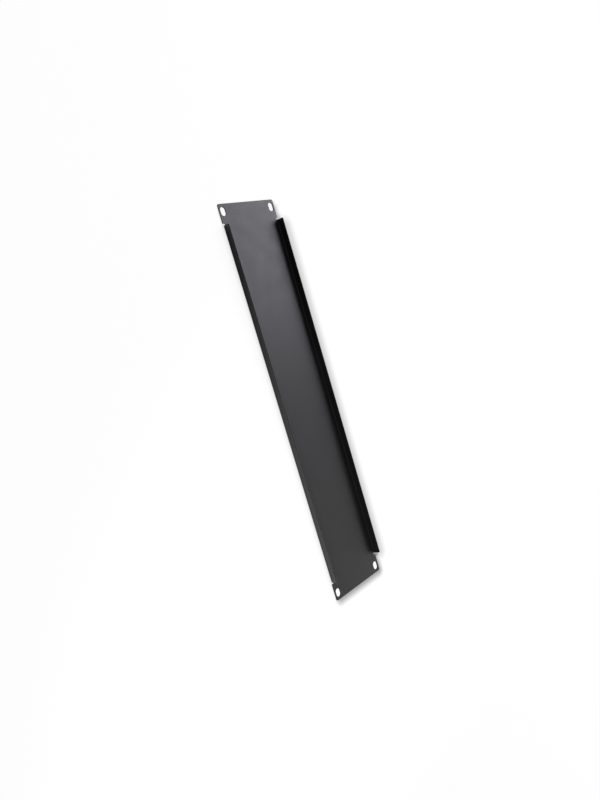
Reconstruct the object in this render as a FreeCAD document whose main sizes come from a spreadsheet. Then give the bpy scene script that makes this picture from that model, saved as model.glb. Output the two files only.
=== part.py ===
import FreeCAD, Part
import math
import os
import Sketcher

# Rack blanking panel, two rack units high: one sheet of steel, folded once along each long side.
# It lies as it comes to rest, with its front face down on z = 0 and its inner face and flanges up,
# its length along X and its rack height along Y. The origin is the middle of the front face.
# Millimetres.

NODE = "blanking_panel"

doc = FreeCAD.newDocument("RackBlankingPanel")

# Driving dimensions
DRIVING = [
    ("panel_length", 482.6, "over both ears, the width of a 19 inch rack"),
    ("panel_height", 88.1, "two rack units less the gap to the next panel"),
    ("sheet", 1.2, "thickness of the steel"),
    ("ear_length", 22.0, "from the end of the panel to the relief notches"),
    ("ear_corner", 2.5, "radius of the four outer corners"),
    ("slot_edge_x", 8.75, "slot centre in from the end of the panel"),
    ("slot_edge_y", 5.95, "slot centre in from the long side"),
    ("slot_width", 6.8, "clearance for a rack screw"),
    ("slot_play", 3.2, "between the centres of a slot's round ends"),
    ("flange_depth", 10.3, "from the front face to the free edge of a flange"),
    ("flange_corner", 2.0, "radius of the free corners of a flange"),
    ("bend_radius", 1.2, "inner radius of the fold"),
    ("relief_width", 2.4, "gap between an ear and the end of a flange"),
    ("relief_margin", 0.6, "how far the relief runs in past the fold"),
]
sizes = doc.addObject("Spreadsheet::Sheet", "Sizes")
for row, (alias, value, note) in enumerate(DRIVING, start=1):
    sizes.set("A%d" % row, alias)
    sizes.set("B%d" % row, str(value))
    sizes.set("C%d" % row, note)
    sizes.setAlias("B%d" % row, alias)
doc.recompute()

# Distances that follow from them, as formulas
HALF_LENGTH = "(Sizes.panel_length / 2)"
HALF_HEIGHT = "(Sizes.panel_height / 2)"
SHOULDER = "(%s - Sizes.ear_length)" % HALF_LENGTH
FLANGE_END = "(%s - Sizes.relief_width)" % SHOULDER
FOLD_OUTER = "(Sizes.bend_radius + Sizes.sheet)"
FOLD_START = "(%s - %s)" % (HALF_HEIGHT, FOLD_OUTER)
RELIEF_FLOOR = "(%s - Sizes.relief_margin)" % FOLD_START
SLOT_X = "(%s - Sizes.slot_edge_x)" % HALF_LENGTH
SLOT_Y = "(%s - Sizes.slot_edge_y)" % HALF_HEIGHT

# A sketch's own horizontal axis and origin, and the points of an edge
ACROSS = -1
ORIGIN = (-1, 1)
START = 1
END = 2
CENTRE = 3

panel = doc.addObject("PartDesign::Body", "BlankingPanel")
panel.Label = NODE
panel.Placement = FreeCAD.Placement()


def value_of(formula):
    """Number that a formula of the driving dimensions gives."""
    return float(sizes.evalExpression(formula))


def origin_feature(role):
    """Plane or axis of the body's origin, by its role."""
    return [item for item in panel.Origin.OriginFeatures if item.Role == role][0]


def new_sketch(name, role):
    """Empty sketch on one of the origin planes."""
    sketch = panel.newObject("Sketcher::SketchObject", name)
    sketch.AttachmentSupport = [(origin_feature(role), "")]
    sketch.MapMode = "FlatFace"
    return sketch


def new_feature(kind, name):
    """Solid feature at the end of the body."""
    doc.recompute()
    feature = panel.newObject("PartDesign::%s" % kind, name)
    panel.Tip = feature
    return feature


def add_line(sketch, start, end):
    """Straight edge from one point of the sketch to another."""
    return sketch.addGeometry(Part.LineSegment(FreeCAD.Vector(*start), FreeCAD.Vector(*end)), False)


def add_arc(sketch, centre, radius, first_deg, last_deg):
    """Arc that runs anticlockwise from the first angle to the last."""
    circle = Part.Circle(FreeCAD.Vector(*centre), FreeCAD.Vector(0, 0, 1), radius)
    arc = Part.ArcOfCircle(circle, math.radians(first_deg), math.radians(last_deg))
    return sketch.addGeometry(arc, False)


def relate(sketch, kind, *items):
    """Geometric constraint, such as Tangent."""
    sketch.addConstraint(Sketcher.Constraint(kind, *items))


def measure(sketch, name, kind, items, formula):
    """Dimension that follows a formula of the driving dimensions."""
    index = sketch.addConstraint(Sketcher.Constraint(kind, *items, value_of(formula)))
    sketch.renameConstraint(index, name)
    sketch.setExpression("Constraints.%s" % name, formula)


def add_rectangle(sketch, low, high):
    """Upright rectangle, as its lower, right, upper and left edges."""
    corners = [low, (high[0], low[1]), high, (low[0], high[1])]
    edges = [add_line(sketch, corners[i], corners[(i + 1) % 4]) for i in range(4)]
    for i in range(4):
        relate(sketch, "Coincident", edges[i], END, edges[(i + 1) % 4], START)
        relate(sketch, ("Horizontal", "Vertical")[i % 2], edges[i])
    return edges


def edge_names(shape, direction, on_edge):
    """Straight edges of a shape that run along a direction and pass a test of their middle point."""
    names = []
    for number, edge in enumerate(shape.Edges, start=1):
        if edge.Curve.TypeId != "Part::GeomLine":
            continue
        middle = edge.valueAt((edge.FirstParameter + edge.LastParameter) / 2)
        if edge.Curve.Direction.cross(direction).Length < 1e-6 and on_edge(middle):
            names.append("Edge%d" % number)
    return names


def near(first, second):
    """Whether two lengths are the same size, whatever their sign."""
    return abs(abs(first) - second) < 1e-4


# Face plate: the flat sheet with its two ears
outline = new_sketch("PlateOutline", "XY_Plane")
corner = (value_of(HALF_LENGTH), value_of(HALF_HEIGHT))
lower, right, upper, left = add_rectangle(outline, (-corner[0], -corner[1]), corner)
relate(outline, "Symmetric", lower, START, upper, START, *ORIGIN)
measure(outline, "length", "DistanceX", (lower, START, lower, END), "Sizes.panel_length")
measure(outline, "height", "DistanceY", (right, START, right, END), "Sizes.panel_height")

face_plate = new_feature("Pad", "FacePlate")
face_plate.Profile = outline
face_plate.setExpression("Length", "Sizes.sheet")

# Fold strip: what one fold takes up between the ears, cut away together with its two reliefs
strip = new_sketch("FoldStrip", "XY_Plane")
low = (-value_of(SHOULDER), value_of(RELIEF_FLOOR))
high = (value_of(SHOULDER), value_of(HALF_HEIGHT))
lower, right, upper, left = add_rectangle(strip, low, high)
measure(strip, "left", "DistanceX", (lower, START, *ORIGIN), SHOULDER)
measure(strip, "right", "DistanceX", (*ORIGIN, lower, END), SHOULDER)
measure(strip, "floor", "DistanceY", (*ORIGIN, lower, START), RELIEF_FLOOR)
measure(strip, "side", "DistanceY", (*ORIGIN, upper, START), HALF_HEIGHT)

strip_cut = new_feature("Pocket", "FoldStripCut")
strip_cut.Profile = strip
strip_cut.Reversed = True
strip_cut.Type = "ThroughAll"

# Flange: its section is the end of the flat, the fold and the upright wall, run along X
section = new_sketch("FlangeSection", "YZ_Plane")
floor = value_of(RELIEF_FLOOR)
fold = value_of(FOLD_START)
outer = value_of(FOLD_OUTER)
side = value_of(HALF_HEIGHT)
inner_side = side - value_of("Sizes.sheet")
top = value_of("Sizes.flange_depth")
sheet = value_of("Sizes.sheet")
front = add_line(section, (floor, 0), (fold, 0))
outer_fold = add_arc(section, (fold, outer), outer, -90, 0)
outer_wall = add_line(section, (side, outer), (side, top))
free_edge = add_line(section, (side, top), (inner_side, top))
inner_wall = add_line(section, (inner_side, top), (inner_side, outer))
inner_fold = add_arc(section, (fold, outer), outer - sheet, -90, 0)
back = add_line(section, (fold, sheet), (floor, sheet))
flat_end = add_line(section, (floor, sheet), (floor, 0))
relate(section, "Tangent", front, END, outer_fold, START)
relate(section, "Tangent", outer_fold, END, outer_wall, START)
relate(section, "Coincident", outer_wall, END, free_edge, START)
relate(section, "Coincident", free_edge, END, inner_wall, START)
relate(section, "Tangent", inner_wall, END, inner_fold, END)
relate(section, "Tangent", inner_fold, START, back, START)
relate(section, "Coincident", back, END, flat_end, START)
relate(section, "Coincident", flat_end, END, front, START)
relate(section, "Coincident", inner_fold, CENTRE, outer_fold, CENTRE)
relate(section, "PointOnObject", front, START, ACROSS)
for edge in (front, free_edge, back):
    relate(section, "Horizontal", edge)
for edge in (outer_wall, inner_wall, flat_end):
    relate(section, "Vertical", edge)
measure(section, "radius", "Radius", (inner_fold,), "Sizes.bend_radius")
measure(section, "sheet", "DistanceX", (free_edge, END, free_edge, START), "Sizes.sheet")
measure(section, "floor", "DistanceX", (*ORIGIN, front, START), RELIEF_FLOOR)
measure(section, "side", "DistanceX", (*ORIGIN, free_edge, START), HALF_HEIGHT)
measure(section, "depth", "DistanceY", (*ORIGIN, free_edge, START), "Sizes.flange_depth")

flange = new_feature("Pad", "Flange")
flange.Profile = section
flange.SideType = "Symmetric"
flange.setExpression("Length", "2 * %s" % FLANGE_END)

# Both long sides are alike
both_sides = new_feature("Mirrored", "BothSides")
both_sides.Originals = [strip_cut, flange]
both_sides.MirrorPlane = (origin_feature("XZ_Plane"), [""])

# Slots for the rack screws, one drawn and set out four times
slot = new_sketch("Slot", "XY_Plane")
centre_y = -value_of(SLOT_Y)
outer_x = -value_of(SLOT_X) - value_of("Sizes.slot_play") / 2
inner_x = -value_of(SLOT_X) + value_of("Sizes.slot_play") / 2
radius = value_of("Sizes.slot_width") / 2
outer_end = add_arc(slot, (outer_x, centre_y), radius, 90, 270)
lower_edge = add_line(slot, (outer_x, centre_y - radius), (inner_x, centre_y - radius))
inner_end = add_arc(slot, (inner_x, centre_y), radius, -90, 90)
upper_edge = add_line(slot, (inner_x, centre_y + radius), (outer_x, centre_y + radius))
relate(slot, "Tangent", outer_end, END, lower_edge, START)
relate(slot, "Tangent", lower_edge, END, inner_end, START)
relate(slot, "Tangent", inner_end, END, upper_edge, START)
relate(slot, "Tangent", upper_edge, END, outer_end, START)
relate(slot, "Horizontal", lower_edge)
relate(slot, "Equal", outer_end, inner_end)
measure(slot, "radius", "Radius", (outer_end,), "Sizes.slot_width / 2")
measure(slot, "play", "DistanceX", (outer_end, CENTRE, inner_end, CENTRE), "Sizes.slot_play")
measure(slot, "across", "DistanceX", (outer_end, CENTRE, *ORIGIN), "%s + Sizes.slot_play / 2" % SLOT_X)
measure(slot, "up", "DistanceY", (outer_end, CENTRE, *ORIGIN), SLOT_Y)

slot_cut = new_feature("Pocket", "SlotCut")
slot_cut.Profile = slot
slot_cut.Reversed = True
slot_cut.Type = "ThroughAll"

slots = new_feature("LinearPattern", "Slots")
slots.Originals = [slot_cut]
slots.Direction = (origin_feature("X_Axis"), [""])
slots.setExpression("Length", "2 * %s" % SLOT_X)
slots.Occurrences = 2
slots.Direction2 = (origin_feature("Y_Axis"), [""])
slots.setExpression("Length2", "2 * %s" % SLOT_Y)
slots.Occurrences2 = 2

# Rounded corners of the ears
ear_corners = new_feature("Fillet", "EarCorners")
upright_edges = edge_names(
    slots.Shape,
    FreeCAD.Vector(0, 0, 1),
    lambda point: near(point.x, value_of(HALF_LENGTH)) and near(point.y, value_of(HALF_HEIGHT)),
)
ear_corners.Base = (slots, upright_edges)
ear_corners.setExpression("Radius", "Sizes.ear_corner")

# Rounded free corners of the flanges
flange_corners = new_feature("Fillet", "FlangeCorners")
corner_edges = edge_names(
    ear_corners.Shape,
    FreeCAD.Vector(0, 1, 0),
    lambda point: near(point.x, value_of(FLANGE_END)) and near(point.z, value_of("Sizes.flange_depth")),
)
flange_corners.Base = (ear_corners, corner_edges)
flange_corners.setExpression("Radius", "Sizes.flange_corner")

doc.recompute()

# Nothing is written unless every feature and the finished panel are sound
for item in doc.Objects:
    if "Invalid" in item.State or "Error" in item.State:
        raise RuntimeError("%s failed: %s" % (item.Label, item.State))
if panel.Shape.isNull() or not panel.Shape.isValid() or len(panel.Shape.Solids) != 1:
    raise RuntimeError("%s is not one sound solid" % panel.Label)

os.makedirs("parts", exist_ok=True)
panel.Shape.exportStep("parts/%s.step" % panel.Label)
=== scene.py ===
import math

import bmesh
import bpy
from mathutils import Matrix, Vector


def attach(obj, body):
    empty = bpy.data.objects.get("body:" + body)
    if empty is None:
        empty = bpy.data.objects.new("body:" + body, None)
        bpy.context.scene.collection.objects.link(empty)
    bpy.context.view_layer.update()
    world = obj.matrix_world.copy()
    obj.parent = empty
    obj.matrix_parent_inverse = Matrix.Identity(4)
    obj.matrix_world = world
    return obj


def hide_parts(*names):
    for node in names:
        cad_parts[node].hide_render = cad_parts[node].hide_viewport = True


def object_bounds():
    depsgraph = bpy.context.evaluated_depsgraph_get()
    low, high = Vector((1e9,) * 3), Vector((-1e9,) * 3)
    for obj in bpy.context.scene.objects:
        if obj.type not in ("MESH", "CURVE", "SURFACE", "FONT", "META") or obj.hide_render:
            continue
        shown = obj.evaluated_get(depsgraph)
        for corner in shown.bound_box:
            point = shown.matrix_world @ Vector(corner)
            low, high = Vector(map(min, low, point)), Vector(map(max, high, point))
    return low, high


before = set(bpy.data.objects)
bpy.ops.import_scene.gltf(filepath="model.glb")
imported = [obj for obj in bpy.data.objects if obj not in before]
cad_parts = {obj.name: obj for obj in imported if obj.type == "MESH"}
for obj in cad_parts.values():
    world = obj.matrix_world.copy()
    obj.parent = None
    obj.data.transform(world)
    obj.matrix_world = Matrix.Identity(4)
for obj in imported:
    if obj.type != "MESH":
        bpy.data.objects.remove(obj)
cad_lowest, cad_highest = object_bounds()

MM = 0.001

# The sheet, and how far its coat rounds the cut edges
WELD_DISTANCE = 0.001 * MM
FLAT_WITHIN = math.radians(0.5)
CUT_EDGE_FROM = math.radians(50)
EDGE_ROUNDING = 0.50 * MM
ROUNDING_STEPS = 4

# The coat: noise scales are per metre
PIGMENT_SCALE = 30.0
DARKEST_PIGMENT = (0.0030, 0.0030, 0.0031, 1.0)
LIGHTEST_PIGMENT = (0.0042, 0.0042, 0.0043, 1.0)
SHEEN_SCALE = 60.0
SHINIEST = 0.43
DULLEST = 0.49
PEBBLE_SCALE = 900.0
PEBBLE_HEIGHT = 0.020 * MM
GRAIN_SCALE = 3200.0
GRAIN_HEIGHT = 0.006 * MM
COAT_IOR = 1.5

# The floor and the room
WHITE = (1.0, 1.0, 1.0, 1.0)
BLACK = (0.0, 0.0, 0.0, 1.0)
PAPER = (0.82, 0.82, 0.82, 1.0)
FLOOR_HALF_SIDE = 4.0
FLOOR_SEEN = 0.945
ROOM_SEEN = 1.0
MIRRORED = 0.05
# How far inside the panel's outline the painted shadow on the floor stops
SLOT_MARGIN = 2.5 * MM


# The folded sheet


def folded_sheet(node, name, edge_radius):
    """The CAD panel with its cut edges rounded, as a coat of powder leaves them."""
    sheet = bmesh.new()
    sheet.from_mesh(node.data)
    bmesh.ops.remove_doubles(sheet, verts=sheet.verts, dist=WELD_DISTANCE)
    bmesh.ops.dissolve_limit(
        sheet,
        angle_limit=FLAT_WITHIN,
        use_dissolve_boundaries=False,
        verts=sheet.verts,
        edges=sheet.edges,
        delimit={"NORMAL"},
    )
    cut_edges = [edge for edge in sheet.edges if edge.calc_face_angle() > CUT_EDGE_FROM]
    bmesh.ops.bevel(
        sheet,
        geom=cut_edges,
        offset=edge_radius,
        offset_type="OFFSET",
        segments=ROUNDING_STEPS,
        profile=0.5,
        affect="EDGES",
        clamp_overlap=False,
        material=-1,
    )
    for face in sheet.faces:
        face.smooth = True
    mesh = bpy.data.meshes.new(name)
    sheet.to_mesh(mesh)
    sheet.free()
    piece = bpy.data.objects.new(name, mesh)
    bpy.context.scene.collection.objects.link(piece)
    flats = piece.modifiers.new("flats_stay_flat", "WEIGHTED_NORMAL")
    flats.mode = "FACE_AREA"
    flats.weight = 100
    return piece


# Node helpers: an owner is a material or the world


def add_node(owner, kind, **settings):
    node = owner.node_tree.nodes.new(kind)
    for key, value in settings.items():
        setattr(node, key, value)
    return node


def feed(owner, node, socket, value):
    """Gives a socket another node's output, or a plain value."""
    if isinstance(value, bpy.types.NodeSocket):
        owner.node_tree.links.new(value, node.inputs[socket])
    else:
        node.inputs[socket].default_value = value


def maths(owner, operation, first, second):
    node = add_node(owner, "ShaderNodeMath", operation=operation)
    feed(owner, node, 0, first)
    feed(owner, node, 1, second)
    return node.outputs["Value"]


def vector_maths(owner, operation, first, second=None):
    node = add_node(owner, "ShaderNodeVectorMath", operation=operation)
    feed(owner, node, 0, first)
    if second is not None:
        feed(owner, node, 1, second)
    return node.outputs["Value" if operation == "LENGTH" else "Vector"]


def mixed_colour(owner, first, second, factor):
    node = add_node(owner, "ShaderNodeMix", data_type="RGBA")
    feed(owner, node, "A", first)
    feed(owner, node, "B", second)
    feed(owner, node, "Factor", factor)
    return node.outputs["Result"]


def mixed_shader(owner, first, second, factor):
    node = add_node(owner, "ShaderNodeMixShader")
    feed(owner, node, 0, factor)
    feed(owner, node, 1, first)
    feed(owner, node, 2, second)
    return node.outputs["Shader"]


# Finishes


def noise(material, place, scale, detail):
    node = add_node(material, "ShaderNodeTexNoise")
    feed(material, node, "Scale", scale)
    feed(material, node, "Detail", detail)
    feed(material, node, "Vector", place)
    return node.outputs["Fac"]


def spread(material, source, low, high):
    """Turns a noise into a value between low and high."""
    node = add_node(material, "ShaderNodeMapRange")
    feed(material, node, "From Min", 0.3)
    feed(material, node, "From Max", 0.7)
    feed(material, node, "To Min", low)
    feed(material, node, "To Max", high)
    feed(material, node, "Value", source)
    return node.outputs["Result"]


def bumps(material, source, height, beneath=None):
    """Raises a noise as bumps of a given height, on top of the bumps beneath."""
    node = add_node(material, "ShaderNodeBump")
    feed(material, node, "Strength", 1.0)
    feed(material, node, "Distance", height)
    feed(material, node, "Height", source)
    if beneath is not None:
        feed(material, node, "Normal", beneath)
    return node.outputs["Normal"]


def black_powder_coat():
    """Satin black powder coat: near-black pigment under a fine, slightly pebbled skin."""
    material = bpy.data.materials.new("black_powder_coat")
    material.use_nodes = True
    shader = material.node_tree.nodes["Principled BSDF"]
    place = add_node(material, "ShaderNodeTexCoord").outputs["Object"]

    tint = spread(material, noise(material, place, PIGMENT_SCALE, 3.0), 0.0, 1.0)
    pigment = mixed_colour(material, DARKEST_PIGMENT, LIGHTEST_PIGMENT, tint)
    sheen = spread(material, noise(material, place, SHEEN_SCALE, 4.0), SHINIEST, DULLEST)
    pebbles = bumps(material, noise(material, place, PEBBLE_SCALE, 1.0), PEBBLE_HEIGHT)
    grain = bumps(material, noise(material, place, GRAIN_SCALE, 2.0), GRAIN_HEIGHT, pebbles)

    feed(material, shader, "Base Color", pigment)
    feed(material, shader, "Roughness", sheen)
    feed(material, shader, "Normal", grain)
    feed(material, shader, "IOR", COAT_IOR)
    feed(material, shader, "Specular IOR Level", 0.5)
    return material


def distance_from_box(material, place, low, high):
    """How far a point of the floor lies outside a box, in metres; 0 inside it."""
    centre = (*[(a + b) / 2 for a, b in zip(low, high)], 0.0)
    half = (*[(b - a) / 2 for a, b in zip(low, high)], 0.0)
    offset = vector_maths(material, "SUBTRACT", place, centre)
    beyond = vector_maths(material, "SUBTRACT", vector_maths(material, "ABSOLUTE", offset), half)
    outside = vector_maths(material, "MAXIMUM", beyond, (0.0, 0.0, 0.0))
    return vector_maths(material, "LENGTH", outside)


def painted_soft_shadow(material, place, low, high, depth, width):
    """A painted shadow of a given depth inside a box of the floor, which fades out across a width.
    """
    fade = add_node(material, "ShaderNodeMapRange", interpolation_type="SMOOTHSTEP")
    feed(material, fade, "From Min", 0.0)
    feed(material, fade, "From Max", width)
    feed(material, fade, "To Min", depth)
    feed(material, fade, "To Max", 0.0)
    feed(material, fade, "Value", distance_from_box(material, place, low, high))
    return fade.outputs["Result"]


def painted_shadow_round_panel(material, place, panel_low, panel_high):
    """The deepest of the painted soft shadows round the panel's foot, its lower ear, flange and
    notches.
    """
    lower, right = panel_low.x, panel_low.y
    upper, left = panel_high.x, panel_high.y

    def shade(x_from, x_to, y_from, y_to, depth, width):
        return painted_soft_shadow(material, place, (x_from, y_from), (x_to, y_to), depth, width)

    # Each box is a painted shadow on the floor: its x and y extent, its depth, and the width of its
    # fade.
    foot = shade(lower, upper - 11.1 * MM, right + 3.45 * MM, left - 8.85 * MM, 0.69, 13.2 * MM)
    lower_ear = shade(lower, lower + 25.3 * MM, right + 1.85 * MM, left - 8.85 * MM, 0.69, 13.2 * MM)
    right_flange = shade(
        lower + 21.7 * MM, upper - 32.3 * MM, right - 10.95 * MM, left - 9.65 * MM, 0.36, 17.0 * MM
    )
    lower_notch = shade(
        lower + 20.3 * MM, lower + 24.8 * MM, right - 2.95 * MM, right + 3.05 * MM, 0.76, 9.0 * MM
    )
    upper_notch = shade(
        upper - 24.8 * MM, upper - 20.8 * MM, right - 1.45 * MM, right + 3.05 * MM, 0.52, 10.0 * MM
    )
    deepest = foot
    for other in (lower_ear, right_flange, lower_notch, upper_notch):
        deepest = maths(material, "MAXIMUM", deepest, other)
    return deepest


def backdrop_share(owner, seen, mirrored):
    """How much of the plain white a ray meets: the camera's rays most, a mirrored one a little."""
    ray = add_node(owner, "ShaderNodeLightPath").outputs
    bounced = maths(owner, "MAXIMUM", ray["Is Glossy Ray"], ray["Is Transmission Ray"])
    mirrored_share = maths(owner, "MULTIPLY", bounced, mirrored)
    seen_share = maths(owner, "MULTIPLY", ray["Is Camera Ray"], seen)
    return maths(owner, "MAXIMUM", mirrored_share, seen_share)


def white_paper(panel_low, panel_high):
    """The studio's white floor, with a soft painted shadow round the panel, a little real shadow in
    its lit paper, and plain white through its slots.
    """
    material = bpy.data.materials.new("white_paper")
    material.use_nodes = True
    nodes = material.node_tree.nodes
    nodes.remove(nodes["Principled BSDF"])
    place = add_node(material, "ShaderNodeTexCoord").outputs["Object"]

    # The painted shadow is left off inside the panel's outline less SLOT_MARGIN, so the slots show
    # plain white.
    past_slots = distance_from_box(
        material,
        place,
        (panel_low.x + SLOT_MARGIN, panel_low.y + SLOT_MARGIN),
        (panel_high.x - SLOT_MARGIN, panel_high.y - SLOT_MARGIN),
    )
    uncovered = maths(material, "GREATER_THAN", past_slots, 0.0)
    round_panel = painted_shadow_round_panel(material, place, panel_low, panel_high)
    painted_shadow_tone = mixed_colour(material, WHITE, BLACK, maths(material, "MULTIPLY", round_panel, uncovered))

    paper = add_node(material, "ShaderNodeBsdfDiffuse")
    feed(material, paper, "Color", PAPER)
    # The glow carries the painted shadow. The lit paper mixed under it adds a little real shadow
    # from the lamps.
    glow = add_node(material, "ShaderNodeEmission")
    feed(material, glow, "Color", painted_shadow_tone)
    feed(material, glow, "Strength", 1.0)
    share = backdrop_share(material, FLOOR_SEEN, MIRRORED)
    surface = mixed_shader(material, paper.outputs["BSDF"], glow.outputs["Emission"], share)
    feed(material, nodes["Material Output"], "Surface", surface)
    return material


# Studio


def studio_floor(half_side, panel_low, panel_high):
    sweep = bmesh.new()
    bmesh.ops.create_grid(sweep, x_segments=1, y_segments=1, size=half_side)
    mesh = bpy.data.meshes.new("floor")
    sweep.to_mesh(mesh)
    sweep.free()
    floor = bpy.data.objects.new("floor", mesh)
    bpy.context.scene.collection.objects.link(floor)
    mesh.materials.append(white_paper(panel_low, panel_high))


def hang(name, lamp, place, aim, in_reflections):
    """Puts a lamp at a place and turns it to its aim."""
    holder = bpy.data.objects.new(name, lamp)
    holder.location = place
    holder.rotation_euler = (Vector(aim) - Vector(place)).to_track_quat("-Z", "Y").to_euler()
    holder.visible_glossy = in_reflections
    bpy.context.scene.collection.objects.link(holder)


def softbox(name, place, aim, width, height, brightness, colour, in_reflections=True):
    """A flat lamp that looks equally bright whatever its size."""
    lamp = bpy.data.lights.new(name, "AREA")
    lamp.shape = "RECTANGLE"
    lamp.size = width
    lamp.size_y = height
    lamp.energy = brightness * math.pi * width * height
    lamp.color = colour
    hang(name, lamp, place, aim, in_reflections)


def snoot(name, place, aim, cone, power, radius):
    """A spot lamp whose light fades out across its whole cone."""
    lamp = bpy.data.lights.new(name, "SPOT")
    lamp.spot_size = math.radians(cone)
    lamp.spot_blend = 1.0
    lamp.energy = power
    lamp.shadow_soft_size = radius
    hang(name, lamp, place, aim, in_reflections=False)


def room_light(strength):
    """A dim even light from all round, with plain white where the camera sees past the floor."""
    world = bpy.data.worlds.new("studio_room")
    bpy.context.scene.world = world
    world.use_nodes = True
    air = world.node_tree.nodes["Background"]
    feed(world, air, "Color", WHITE)
    feed(world, air, "Strength", strength)
    backdrop = add_node(world, "ShaderNodeBackground")
    feed(world, backdrop, "Color", WHITE)
    feed(world, backdrop, "Strength", 1.0)
    share = backdrop_share(world, ROOM_SEEN, MIRRORED)
    surface = mixed_shader(world, air.outputs["Background"], backdrop.outputs["Background"], share)
    feed(world, world.node_tree.nodes["World Output"], "Surface", surface)


def camera(place, aim, roll, lens, shift_y):
    view = bpy.data.cameras.new("camera")
    view.sensor_width = 36.0
    view.lens = lens
    view.shift_y = shift_y
    holder = bpy.data.objects.new("camera", view)
    level = (Vector(aim) - Vector(place)).to_track_quat("-Z", "Y").to_matrix()
    rolled = level @ Matrix.Rotation(math.radians(roll), 3, "Z")
    holder.location = place
    holder.rotation_euler = rolled.to_euler()
    bpy.context.scene.collection.objects.link(holder)
    bpy.context.scene.camera = holder


camera(
    place=(0.07556, 0.56260, 0.57047),
    aim=(-0.03705, 0.02332, 0.0),
    roll=81.842,
    lens=29.975,
    shift_y=0.04554,
)

panel = folded_sheet(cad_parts["blanking_panel"], "panel", EDGE_ROUNDING)
panel.data.materials.clear()
panel.data.materials.append(black_powder_coat())
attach(panel, "root")
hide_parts("blanking_panel")

studio_floor(FLOOR_HALF_SIDE, cad_lowest, cad_highest)
softbox(
    "key",
    place=(0.52, -0.92, 0.70),
    aim=(0.0, 0.0, 0.0),
    width=0.73,
    height=1.08,
    brightness=5.1,
    colour=(0.895, 0.90, 1.0),
)
softbox(
    "far_wall",
    place=(-1.05, -2.4, 1.01),
    aim=(0.0, 0.0, 0.3),
    width=4.0,
    height=1.84,
    brightness=1.57,
    colour=(0.97, 0.97, 1.0),
)
softbox(
    "floor_light",
    place=(0.05, -1.5, 1.20),
    aim=(0.05, 0.0, 0.0),
    width=2.2,
    height=0.8,
    brightness=6.0,
    colour=(1.0, 1.0, 1.0),
    in_reflections=False,
)
snoot(
    "lower_left",
    place=(-0.55, 0.85, 0.60),
    aim=(-0.22, 0.05, 0.0),
    cone=38.0,
    power=92.0,
    radius=0.06,
)
room_light(strength=0.18)
bpy.context.scene.view_settings.view_transform = "Standard"
